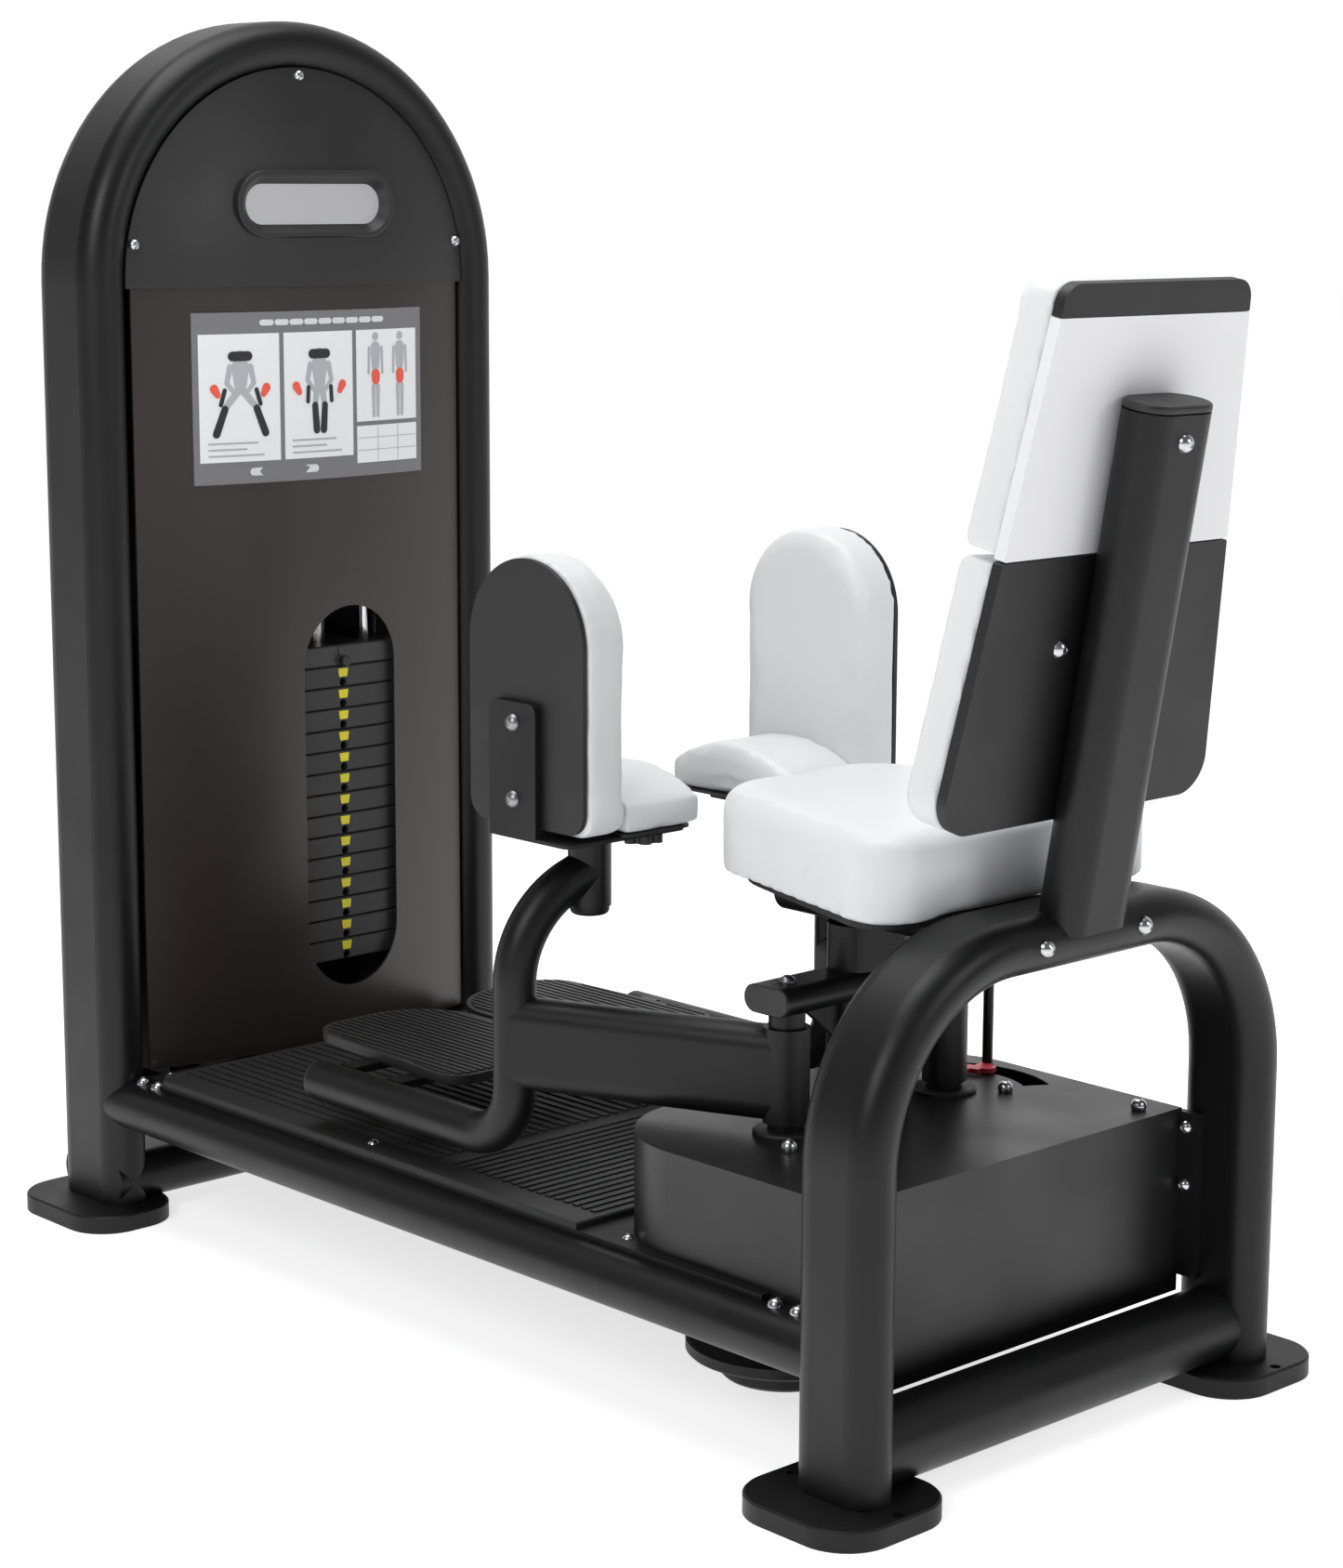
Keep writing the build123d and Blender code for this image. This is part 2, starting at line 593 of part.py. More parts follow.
def arm_tube(wall):
    # Foot run, lower bend, upright and top bend of the left arm, ending on the pad pivot's axis.
    px, py = pad_pivot_xy()
    reach = math.hypot(px + UP_X, py - UP_Y)
    ux = (px + UP_X) / reach
    uy = (UP_Y - py) / reach
    z0 = FOOT_TUBE_Z
    k = BEND_R * (1 - math.sqrt(0.5))
    theta = math.radians(65)
    r = 112.0
    z1 = 390.0
    s = r * (1 - math.cos(theta))
    sm = r * (1 - math.cos(theta / 2))
    h = r * math.sin(theta)
    hm = r * math.sin(theta / 2)
    rest = (reach - s) / math.sin(theta)
    p0 = (-UP_X, FOOT_TUBE_END, z0)
    p1 = (-UP_X, UP_Y + BEND_R, z0)
    p2 = (-UP_X, UP_Y + k, z0 + k)
    p3 = (-UP_X, UP_Y, z0 + BEND_R)
    p4 = (-UP_X, UP_Y, z1)
    p5 = (-UP_X + ux * sm, UP_Y - uy * sm, z1 + hm)
    p6 = (-UP_X + ux * s, UP_Y - uy * s, z1 + h)
    d = s + rest * math.sin(theta)
    p7 = (-UP_X + ux * d, UP_Y - uy * d, z1 + h + rest * math.cos(theta))
    path = Wire([Line(p0, p1), ThreePointArc(p1, p2, p3), Line(p3, p4), ThreePointArc(p4, p5, p6), Line(p6, p7)])
    plane = Plane(origin=p0, z_dir=(0, -1, 0))
    ring = plane * Circle(TUBE_R)
    if wall:
        ring = ring - plane * Circle(TUBE_R - wall)
    return sweep(ring, path=path)


def arm_beam(full_tube):
    ux, uy = radial()
    length = math.hypot(UP_X - PIVOT_X, UP_Y - PIVOT_Y)
    mid = (BEAM_LOW + BEAM_HIGH) / 2
    tall = BEAM_HIGH - BEAM_LOW
    plane = Plane(origin=(-PIVOT_X, PIVOT_Y, mid), x_dir=(0, 0, 1), z_dir=(-ux, uy, 0))
    ring = plane * SlotOverall(tall, BEAM_W) - plane * SlotOverall(tall - 7, BEAM_W - 7)
    beam = extrude(ring, length)
    beam = beam + cyl(-PIVOT_X, PIVOT_Y, BEAM_LOW, BEAM_HIGH, BEAM_W / 2 + 1)
    beam = beam - cyl(-PIVOT_X, PIVOT_Y, 200, 500, SHAFT_R) - full_tube
    return max(beam.solids(), key=lambda s: s.volume)


def arm_shaft():
    # Shaft tube; the fixed stud above runs in the bore of its top end.
    x = -PIVOT_X
    shaft = cyl(x, PIVOT_Y, BOSS_Z0, BAR_Z - BAR_H / 2 - 0.5, SHAFT_R) - cyl(x, PIVOT_Y, BOSS_Z0 - 1, 340, SHAFT_R - 5)
    return shaft - cyl(x, PIVOT_Y, 330, 400, 8.05)


def pivot_studs():
    studs = []
    top = BAR_Z + BAR_H / 2
    for sx in (-1, 1):
        x = sx * PIVOT_X
        stud = cyl(x, PIVOT_Y, 345, top + 2, 8) + cyl(x, PIVOT_Y, top, top + 2, 9)
        studs.append(stud + Pos(x, PIVOT_Y, top + 2) * dome(8, 5))
    save("pivot_studs", *studs)


def gear(phase):
    # Spur gear with involute flanks and a little backlash.
    m = 2 * PIVOT_X / GEAR_TEETH
    rp = PIVOT_X
    rb = rp * math.cos(math.radians(20))
    ro = rp + 0.85 * m
    rr = rp - 1.15 * m
    half = math.pi / (2 * GEAR_TEETH) - 0.25 / rp

    def inv(r):
        if r <= rb:
            return 0.0
        t = math.acos(rb / r)
        return math.tan(t) - t

    pts = []
    for i in range(GEAR_TEETH):
        c = phase + 2 * math.pi * i / GEAR_TEETH
        left = []
        for j in range(5):
            r = max(rb, rr) + (ro - max(rb, rr)) * j / 4
            left.append((r, half + inv(rp) - inv(r)))
        flank = [(rr, left[0][1])] + left
        for r, a in flank:
            pts.append((r * math.cos(c - a), r * math.sin(c - a)))
        for r, a in reversed(flank):
            pts.append((r * math.cos(c + a), r * math.sin(c + a)))
    face = make_face(Polyline(*pts, close=True)) - Circle(SHAFT_R)
    return extrude(face, GEAR_Z1 - GEAR_Z0)


def hub(x):
    disc = cyl(x, PIVOT_Y, HUB_Z0, HUB_Z1, HUB_R)
    disc = chamfer(disc.edges().filter_by(GeomType.CIRCLE), 2)
    boss = cyl(x, PIVOT_Y, BOSS_Z0, HUB_Z0, BOSS_R)
    boss = chamfer(boss.faces().sort_by(Axis.Z)[0].edges(), 3)
    return disc + boss - cyl(x, PIVOT_Y, BOSS_Z0 - 1, HUB_Z1 + 1, SHAFT_R)


def foot_face(grow):
    g = grow
    pts = [(-196 - g, 650 - g), (-5 + g, 650 - g), (-5 + g, 925 + g), (-178 - g, 925 + g)]
    face = make_face(Polyline(*pts, close=True))
    rear = face.vertices().sort_by(Axis.Y)[:2]
    face = fillet(rear, 30 + g)
    toe_out = face.vertices().sort_by(Axis.Y)[-2:].sort_by(Axis.X)[0]
    face = fillet([toe_out], 46 + g)
    toe_in = face.vertices().group_by(Axis.X)[-1].sort_by(Axis.Y)[-1]
    return fillet([toe_in], 84 + g)


def foot_rest():
    plate = extrude(Pos(0, 0, 248) * foot_face(0), 10)
    ribs = []
    inner = extrude(Pos(0, 0, 257.8) * foot_face(-6), 1.9)
    count = 19
    pitch = 178.0 / count
    for i in range(count):
        x = -190 + i * pitch
        ribs.append(box(x, x + pitch * 0.55, 640, 940, 257.8, 259.7) & inner)
    return plate + ribs


def arm_parts():
    full_tube = arm_tube(0)
    tube = arm_tube(TUBE_WALL)
    px, py = pad_pivot_xy()
    sleeve_full = cyl(px, py, SLEEVE_Z0, SLEEVE_Z1, TUBE_R)
    sleeve = sleeve_full - cyl(px, py, SLEEVE_Z0 - 1, SLEEVE_Z1 + 1, 12.55)
    tube = tube - sleeve_full
    tube = max(tube.solids(), key=lambda s: s.volume)
    beam = arm_beam(full_tube)
    bars = []
    for y in (716, 796):
        bar = box(-223, -40, y - 12, y + 12, 240, 248) - full_tube
        bars.append(max(bar.solids(), key=lambda s: s.volume))
    plate = foot_rest()
    cap = cyl_y(-UP_X, FOOT_TUBE_END, FOOT_TUBE_END + 5, FOOT_TUBE_Z, TUBE_R)
    cap = fillet(cap.faces().sort_by(Axis.Y)[-1].edges(), 3.5)
    arm = arm_shaft() + beam + tube + sleeve + bars
    arm = arm - cyl(px, py, SLEEVE_Z0 - 20, SLEEVE_Z1 + 1, 12.55)
    pivot_studs()
    sides = (("left", lambda s: s), ("right", mirror_x))
    for side, place in sides:
        save("arm_" + side, place(arm))
        save("foot_rest_" + side, place(plate), place(cap))
    tooth = math.pi / GEAR_TEETH
    save("gear_left", Pos(-PIVOT_X, PIVOT_Y, GEAR_Z0) * gear(0), hub(-PIVOT_X))
    save("gear_right", Pos(PIVOT_X, PIVOT_Y, GEAR_Z0) * gear(tooth), hub(PIVOT_X))
    drum = Cylinder(DRUM_R + 6, 22) - Torus(DRUM_R + CABLE_R, CABLE_R + 1.0)
    rim = Cylinder(DRUM_R + 20, 2 * CABLE_R + 2) - Cylinder(DRUM_R + CABLE_R, 2 * CABLE_R + 2)
    drum = drum - rim - Cylinder(SHAFT_R, 30)
    save("cable_drum", Pos(-PIVOT_X, PIVOT_Y, CABLE_Z) * drum)


# ---------------------------------------------------------------- pads

def pad_parts():
    px, py = pad_pivot_xy()
    yz = Plane(origin=(-217, 0, 0), x_dir=(0, 1, 0), z_dir=(1, 0, 0))

    def stone(inset):
        y0 = 407 + inset
        y1 = 594 - inset
        r = (y1 - y0) / 2
        z1 = 828 - inset
        z0 = 545 + inset
        face = make_face(Wire([
            Line((y0, z1 - r), (y0, z0)),
            Line((y0, z0), (y1, z0)),
            Line((y1, z0), (y1, z1 - r)),
            ThreePointArc((y1, z1 - r), ((y0 + y1) / 2, z1), (y0, z1 - r)),
        ]))
        low = face.vertices().sort_by(Axis.Y)[:2]
        return fillet(low, 22)

    cushion = extrude(yz.offset(0.3) * stone(0), 51.7)
    cushion = fillet(cushion.faces().sort_by(Axis.X)[-1].edges(), 13)
    plate = extrude(yz.offset(-5) * stone(8), 5)
    y0 = 415.0
    y1 = 595.0
    mid = (y0 + y1) / 2
    face = make_face(Wire([
        Line((y0, 547.3), (y1, 547.3)),
        Line((y1, 547.3), (y1, 577)),
        ThreePointArc((y1, 577), (mid, 603), (y0, 577)),
        Line((y0, 577), (y0, 547.3)),
    ]))
    face = fillet(face.vertices().sort_by(Axis.Y)[-2:], 5)
    saddle = extrude(yz.offset(53.5) * face, 103.5)
    saddle = fillet(saddle.faces().sort_by(Axis.X)[-1].edges().sort_by(Axis.Z)[-1], 5)
    base = box(-160, -66, 423, 587, 544, 547)
    base = fillet(base.edges().filter_by(Axis.Z), 12)
    plate_low = box(-230, -70, 428, 547, 540.5, 544)
    plate_low = fillet(plate_low.edges().filter_by(Axis.Z), 10)
    back = box(-230, -222, 477, 547, 544, 678)
    back = fillet(back.edges().filter_by(Axis.X).sort_by(Axis.Z)[-2:], 10)
    foot = box(-230, -222, 477, 547, 540.5, 544)
    bracket = plate_low + foot + back
    pin = cyl(px, py, SLEEVE_Z0 - 4, 540.5, 12.5)
    pin_cap = cyl(px, py, SLEEVE_Z0 - 9, SLEEVE_Z0 - 0.5, 20)
    pin_cap = fillet(pin_cap.faces().sort_by(Axis.Z)[0].edges(), 5)
    pin = pin + pin_cap
    washer = cyl(px, py, SLEEVE_Z1 + 0.3, 540.5, 20)
    pin = pin + washer
    knob = Pos(-112, 450, 540.5) * knob_shape()
    bolts = []
    for z in (580, 657):
        bolts.append(Pos(-230, 512, z) * Rot(0, -90, 0) * dome(9, 6))
    sides = (("left", lambda s: s), ("right", mirror_x))
    for side, place in sides:
        save("thigh_pad_" + side, place(cushion))
        save("pad_boards_" + side, place(plate), place(base))
        save("saddle_pad_" + side, place(saddle))
        save("pad_bracket_" + side, place(bracket + pin))
        save("pad_knob_" + side, place(knob))
        save("pad_bolts_" + side, *[place(b) for b in bolts])


def knob_shape():
    body = Pos(0, 0, -5.5) * Cylinder(16, 8)
    for i in range(6):
        a = math.radians(60 * i)
        body = body + Pos(15 * math.cos(a), 15 * math.sin(a), -5.5) * Cylinder(6.5, 8)
    return body + Pos(0, 0, -0.75) * Cylinder(7, 1.5)


# ---------------------------------------------------------------- housing and bearings

def house_face(inset):
    x = HOUSE_X - inset
    pts = [(-x, HOUSE_Y0), (x, HOUSE_Y0), (x, HOUSE_Y1 - inset), (-x, HOUSE_Y1 - inset)]
    face = make_face(Polyline(*pts, close=True))
    return fillet(face.vertices().sort_by(Axis.Y)[-2:], HOUSE_R - inset)


def ring_sector(r0, r1, a0, a1, z0, z1, cx, cy):
    pts = []
    steps = 24
    for i in range(steps + 1):
        a = math.radians(a0 + (a1 - a0) * i / steps)
        pts.append((cx + r1 * math.cos(a), cy + r1 * math.sin(a)))
    for i in range(steps + 1):
        a = math.radians(a1 - (a1 - a0) * i / steps)
        pts.append((cx + r0 * math.cos(a), cy + r0 * math.sin(a)))
    return prism(pts, Plane(origin=(0, 0, z0)), z1 - z0)


def housing(post_cap):
    outer = extrude(Pos(0, 0, DECK_TOP) * house_face(0), HOUSE_TOP - DECK_TOP)
    inner = extrude(Pos(0, 0, DECK_TOP - 1) * house_face(SHEET), HOUSE_TOP - DECK_TOP + 1 - SHEET)
    cover = outer - inner
    cover = cover + box(-HOUSE_X, HOUSE_X, HOUSE_Y0, HOUSE_Y0 + SHEET, DECK_TOP, HOUSE_TOP)
    cover = cover + box(-HOUSE_X, HOUSE_X, HOUSE_Y0, HOUSE_Y0 + SHEET, 82, DECK_TOP)
    for sx in (-1, 1):
        x0, x1 = sorted((sx * (HOUSE_X - SHEET), sx * 248.8))
        cover = cover + box(x0, x1, 12, HOUSE_Y0 + SHEET, 100, 270)
    for sx in (-1, 1):
        cover = cover - cyl(sx * PIVOT_X, PIVOT_Y, 260, 290, 24)
    cover = cover - extrude(Pos(0, PIVOT_Y, 260) * SlotOverall(98, 55), 30)
    slot = ring_sector(SLOT_R0, SLOT_R1, -32, 40, 260, 290, PIVOT_X, PIVOT_Y)
    save("housing_cover", cover - slot)
    flanges = []
    lower = []
    for sx in (-1, 1):
        x = sx * PIVOT_X
        flange = cyl(x, PIVOT_Y, HOUSE_TOP, HOUSE_TOP + 5, 33)
        flange = chamfer(flange.faces().sort_by(Axis.Z)[-1].edges(), 2)
        flanges.append(flange - cyl(x, PIVOT_Y, 260, 290, SHAFT_R + 0.6))
        bearing = cyl(x, PIVOT_Y, DECK_TOP, DECK_TOP + 26, 34) + cyl(x, PIVOT_Y, DECK_TOP, DECK_TOP + 8, 52)
        lower.append(bearing - cyl(x, PIVOT_Y, 160, 220, SHAFT_R + 0.05))
    save("shaft_bearings", *flanges, *lower)
    plane = Plane(origin=(-BAR_X, PIVOT_Y, BAR_Z), x_dir=(0, 1, 0), z_dir=(1, 0, 0))
    ring = plane * SlotOverall(BAR_D, BAR_H) - plane * SlotOverall(BAR_D - 7, BAR_H - 7)
    bar = extrude(ring, 2 * BAR_X)
    column_plane = Pos(0, PIVOT_Y, DECK_TOP)
    column = extrude(column_plane * (SlotOverall(96, 53) - SlotOverall(89, 46)), BAR_Z - BAR_H / 2 - DECK_TOP)
    bar = bar + column
    under = BAR_Z - BAR_H / 2
    web = prism([(-47, under - 40), (-47, under + 1), (-88, under + 1), (-88, under - 6)], Plane.XZ.offset(-PIVOT_Y - 4), 8)
    bar = bar + web + mirror_x(web)
    caps = [post_cap]
    for sx in (-1, 1):
        x = sx * PIVOT_X
        bar = bar - cyl(x, PIVOT_Y, 380, 440, 8)
        cap_plane = Plane(origin=(sx * BAR_X, PIVOT_Y, BAR_Z), x_dir=(0, 1, 0), z_dir=(sx, 0, 0))
        cap = extrude(cap_plane * SlotOverall(BAR_D, BAR_H), 4)
        caps.append(chamfer(cap.faces().sort_by(Axis((0, 0, 0), (sx, 0, 0)))[-1].edges(), 1.2))
    save("cross_bar", bar)
    save("tube_caps", *caps)


def range_lever():
    a = math.radians(LEVER_DEG)
    x = PIVOT_X + LEVER_R * math.cos(a)
    y = PIVOT_Y + LEVER_R * math.sin(a)
    rod = cyl(x, y, 240, 468, 5.5)
    arm = box(SHAFT_R + 14, LEVER_R + 12, -14, 14, 0, 6)
    ring = Pos(0, 0, 3) * Cylinder(34, 6)
    plate = ring + arm
    plate = plate - Pos(0, 0, 3) * Cylinder(SHAFT_R + 0.6, 8)
    plate = Pos(PIVOT_X, PIVOT_Y, 234) * Rot(0, 0, LEVER_DEG) * plate
    save("range_lever", plate + rod)
    lobe_a = Pos(LEVER_R - 30, 13, 0) * Cylinder(9, 5)
    lobe_b = Pos(LEVER_R - 16, -8, 0) * Cylinder(9, 5)
    web = Pos(LEVER_R - 10, 0, 0) * Box(26, 12, 5)
    pointer = (lobe_a + lobe_b + web) - Pos(LEVER_R, 0, 0) * Cylinder(5.5, 8)
    link = Pos(LEVER_R - 24, 4, 0) * Box(14, 18, 5)
    pointer = pointer + link
    pointer = Pos(PIVOT_X, PIVOT_Y, 277.4) * Rot(0, 0, LEVER_DEG) * pointer
    save("range_handle", pointer)


# ---------------------------------------------------------------- fasteners

def fasteners(hood_sheet):
    up = Rot(0, 0, 0)
    back = Rot(90, 0, 0)
    rail = []
    deck_screws = []
    for sx in (-1, 1):
        for y in (81, 110, 1108, 1137):
            rail.append(Pos(sx * 256, y, 164) * up * dome(8, 8))
        deck_screws.append(Pos(sx * SCREW_X, 336, DECK_TOP) * dome(6, 4))
        deck_screws.append(Pos(sx * SCREW_X, 738, MAT_TOP) * dome(6, 4))
        deck_screws.append(Pos(sx * 226, 1126, DECK_TOP) * dome(6, 4))
    hood = []
    for x, z in ((0, 1300), (-228, 1112), (228, 1112)):
        face_y = cover_y(math.hypot(x, z - SPRING_Z))
        hood.append(Pos(x, face_y + 1.5, z) * back * dome(7, 8) - hood_sheet)
    house = []
    for sx in (-1, 1):
        house.append(Pos(sx * 156, 194, HOUSE_TOP) * dome(7, 12))
        house.append(Pos(sx * 204, 60, HOUSE_TOP) * dome(7, 12))
    arch = []
    legs = []
    for sx in (-1, 1):
        arch.append(Pos(sx * 70, -ARCH_D / 2, 500) * back * dome(9, 7))
        for z in (195, 255):
            turn = Rot(0, 90, 0) if sx < 0 else Rot(0, -90, 0)
            legs.append(Pos(sx * (HOUSE_X - SHEET), 28, z) * turn * dome(7, 6))
    plane = back_plane()
    rear = plane.offset(POST_T / 2)
    shell = plane.offset(-26.5)
    backs = [rear.location * Pos(0, 441, 0) * dome(9, 7)]
    for sx in (-1, 1):
        backs.append(shell.location * Pos(sx * 60, 243, 0) * dome(9, 6))
    save("frame_bolts", *rail, *hood, *house, *arch, *backs)
    save("small_screws", *deck_screws, *legs)


def main():
    os.makedirs("parts", exist_ok=True)
    _, arch_full = frame_parts()
    deck()
    hood = tower_covers()
    weight_stack()
    cable_parts()
    seat_parts(arch_full)
    post_cap = back_parts(arch_full)
    arm_parts()
    pad_parts()
    housing(post_cap)
    range_lever()
    fasteners(hood)


main()
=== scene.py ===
import json
import math
import bpy
from mathutils import Matrix, Vector


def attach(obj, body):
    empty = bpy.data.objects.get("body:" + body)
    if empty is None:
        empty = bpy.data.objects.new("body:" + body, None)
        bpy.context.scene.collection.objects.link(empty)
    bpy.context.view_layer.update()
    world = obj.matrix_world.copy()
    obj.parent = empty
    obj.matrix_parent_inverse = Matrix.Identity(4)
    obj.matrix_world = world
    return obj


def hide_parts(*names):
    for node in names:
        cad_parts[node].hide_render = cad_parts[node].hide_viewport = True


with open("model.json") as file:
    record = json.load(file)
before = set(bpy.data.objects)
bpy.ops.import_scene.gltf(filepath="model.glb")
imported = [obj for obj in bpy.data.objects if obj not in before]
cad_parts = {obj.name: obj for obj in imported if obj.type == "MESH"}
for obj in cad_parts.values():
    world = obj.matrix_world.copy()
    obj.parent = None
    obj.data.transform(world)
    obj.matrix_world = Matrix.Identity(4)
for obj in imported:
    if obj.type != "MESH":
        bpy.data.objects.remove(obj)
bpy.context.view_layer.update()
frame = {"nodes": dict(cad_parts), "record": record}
NODES = frame["nodes"]

# The part is moved back by Y_MID so that its base is centred on the origin.
Y_MID = 0.5784


def mm(x, y, z):
    return Vector((x / 1000.0, y / 1000.0 - Y_MID, z / 1000.0))


# ---------------------------------------------------------------- materials

COAT_BLACK = (0.0045, 0.0045, 0.0048)
VINYL_WHITE = (0.74, 0.745, 0.76)
MOULD_BLACK = (0.012, 0.012, 0.012)
MOULD_BLACK_COOL = (0.012, 0.012, 0.0125)
TRIM_BLACK = (0.006, 0.006, 0.0062)


def new_material(name, color, rough=0.5, metal=0.0):
    mat = bpy.data.materials.new(name)
    mat.use_nodes = True
    shader = mat.node_tree.nodes["Principled BSDF"]
    shader.inputs["Base Color"].default_value = (*color, 1.0)
    shader.inputs["Roughness"].default_value = rough
    shader.inputs["Metallic"].default_value = metal
    return mat, shader, mat.node_tree


def add_bump(tree, shader, height_socket, strength, distance):
    bump = tree.nodes.new("ShaderNodeBump")
    bump.inputs["Strength"].default_value = strength
    bump.inputs["Distance"].default_value = distance
    tree.links.new(height_socket, bump.inputs["Height"])
    tree.links.new(bump.outputs["Normal"], shader.inputs["Normal"])


def noise(tree, scale, detail=4.0, rough=0.5):
    coord = tree.nodes.new("ShaderNodeTexCoord")
    tex = tree.nodes.new("ShaderNodeTexNoise")
    tex.inputs["Scale"].default_value = scale
    tex.inputs["Detail"].default_value = detail
    tex.inputs["Roughness"].default_value = rough
    tree.links.new(coord.outputs["Object"], tex.inputs["Vector"])
    return tex


def ramp(tree, source, low, high, at0=0.3, at1=0.7):
    node = tree.nodes.new("ShaderNodeValToRGB")
    node.color_ramp.elements[0].position = at0
    node.color_ramp.elements[1].position = at1
    node.color_ramp.elements[0].color = (*low, 1.0)
    node.color_ramp.elements[1].color = (*high, 1.0)
    tree.links.new(source, node.inputs["Fac"])
    return node


def vary_roughness(tree, shader, source, low, high):
    shades = ramp(tree, source, (low,) * 3, (high,) * 3)
    tree.links.new(shades.outputs["Color"], shader.inputs["Roughness"])


def vary_color(tree, shader, source, low, high):
    shades = ramp(tree, source, low, high)
    tree.links.new(shades.outputs["Color"], shader.inputs["Base Color"])


def powder_coat(name, color=COAT_BLACK, rough=0.40, grain=0.06):
    # Satin black powder coat: fine orange peel and a little gloss change.
    mat, shader, tree = new_material(name, color, rough)
    shader.inputs["Specular IOR Level"].default_value = 0.34
    fine = noise(tree, 900.0, 2.0)
    add_bump(tree, shader, fine.outputs["Fac"], grain, 0.0004)
    wide = noise(tree, 9.0, 3.0)
    vary_roughness(tree, shader, wide.outputs["Fac"], rough - 0.05, rough + 0.06)
    return mat


def vinyl(name, color=VINYL_WHITE):
    # Smooth upholstery vinyl with a fine leather grain.
    mat, shader, tree = new_material(name, color, 0.38)
    shader.inputs["Specular IOR Level"].default_value = 0.4
    coord = tree.nodes.new("ShaderNodeTexCoord")
    cells = tree.nodes.new("ShaderNodeTexVoronoi")
    cells.inputs["Scale"].default_value = 850.0
    tree.links.new(coord.outputs["Object"], cells.inputs["Vector"])
    add_bump(tree, shader, cells.outputs["Distance"], 0.05, 0.0004)
    soft = noise(tree, 6.0, 2.0)
    dark = tuple(c * 0.975 for c in color)
    vary_color(tree, shader, soft.outputs["Fac"], dark, color)
    return mat


def plastic(name, color, rough=0.5, grain=0.15, scale=1200.0):
    # Moulded plastic or rubber with a fine texture.
    mat, shader, tree = new_material(name, color, rough)
    fine = noise(tree, scale, 3.0)
    add_bump(tree, shader, fine.outputs["Fac"], grain, 0.0003)
    wide = noise(tree, 12.0, 2.0)
    vary_roughness(tree, shader, wide.outputs["Fac"], rough - 0.04, rough + 0.05)
    return mat


def metal(name, color, rough=0.25, brushed=0.0):
    # Bare or plated metal, with a fine bump where it is brushed.
    mat, shader, tree = new_material(name, color, rough, 1.0)
    tex = noise(tree, 900.0, 2.0)
    vary_roughness(tree, shader, tex.outputs["Fac"], max(rough - 0.06, 0.03), rough + 0.08)
    if brushed:
        add_bump(tree, shader, tex.outputs["Fac"], brushed, 0.0003)
    return mat


def smoked(name):
    # Brown-black acrylic, opaque, with slow changes of tone.
    mat, shader, tree = new_material(name, (0.022, 0.017, 0.015), 0.27)
    wide = noise(tree, 3.0, 2.0)
    vary_color(tree, shader, wide.outputs["Fac"], (0.018, 0.0138, 0.012), (0.026, 0.020, 0.0175))
    return mat


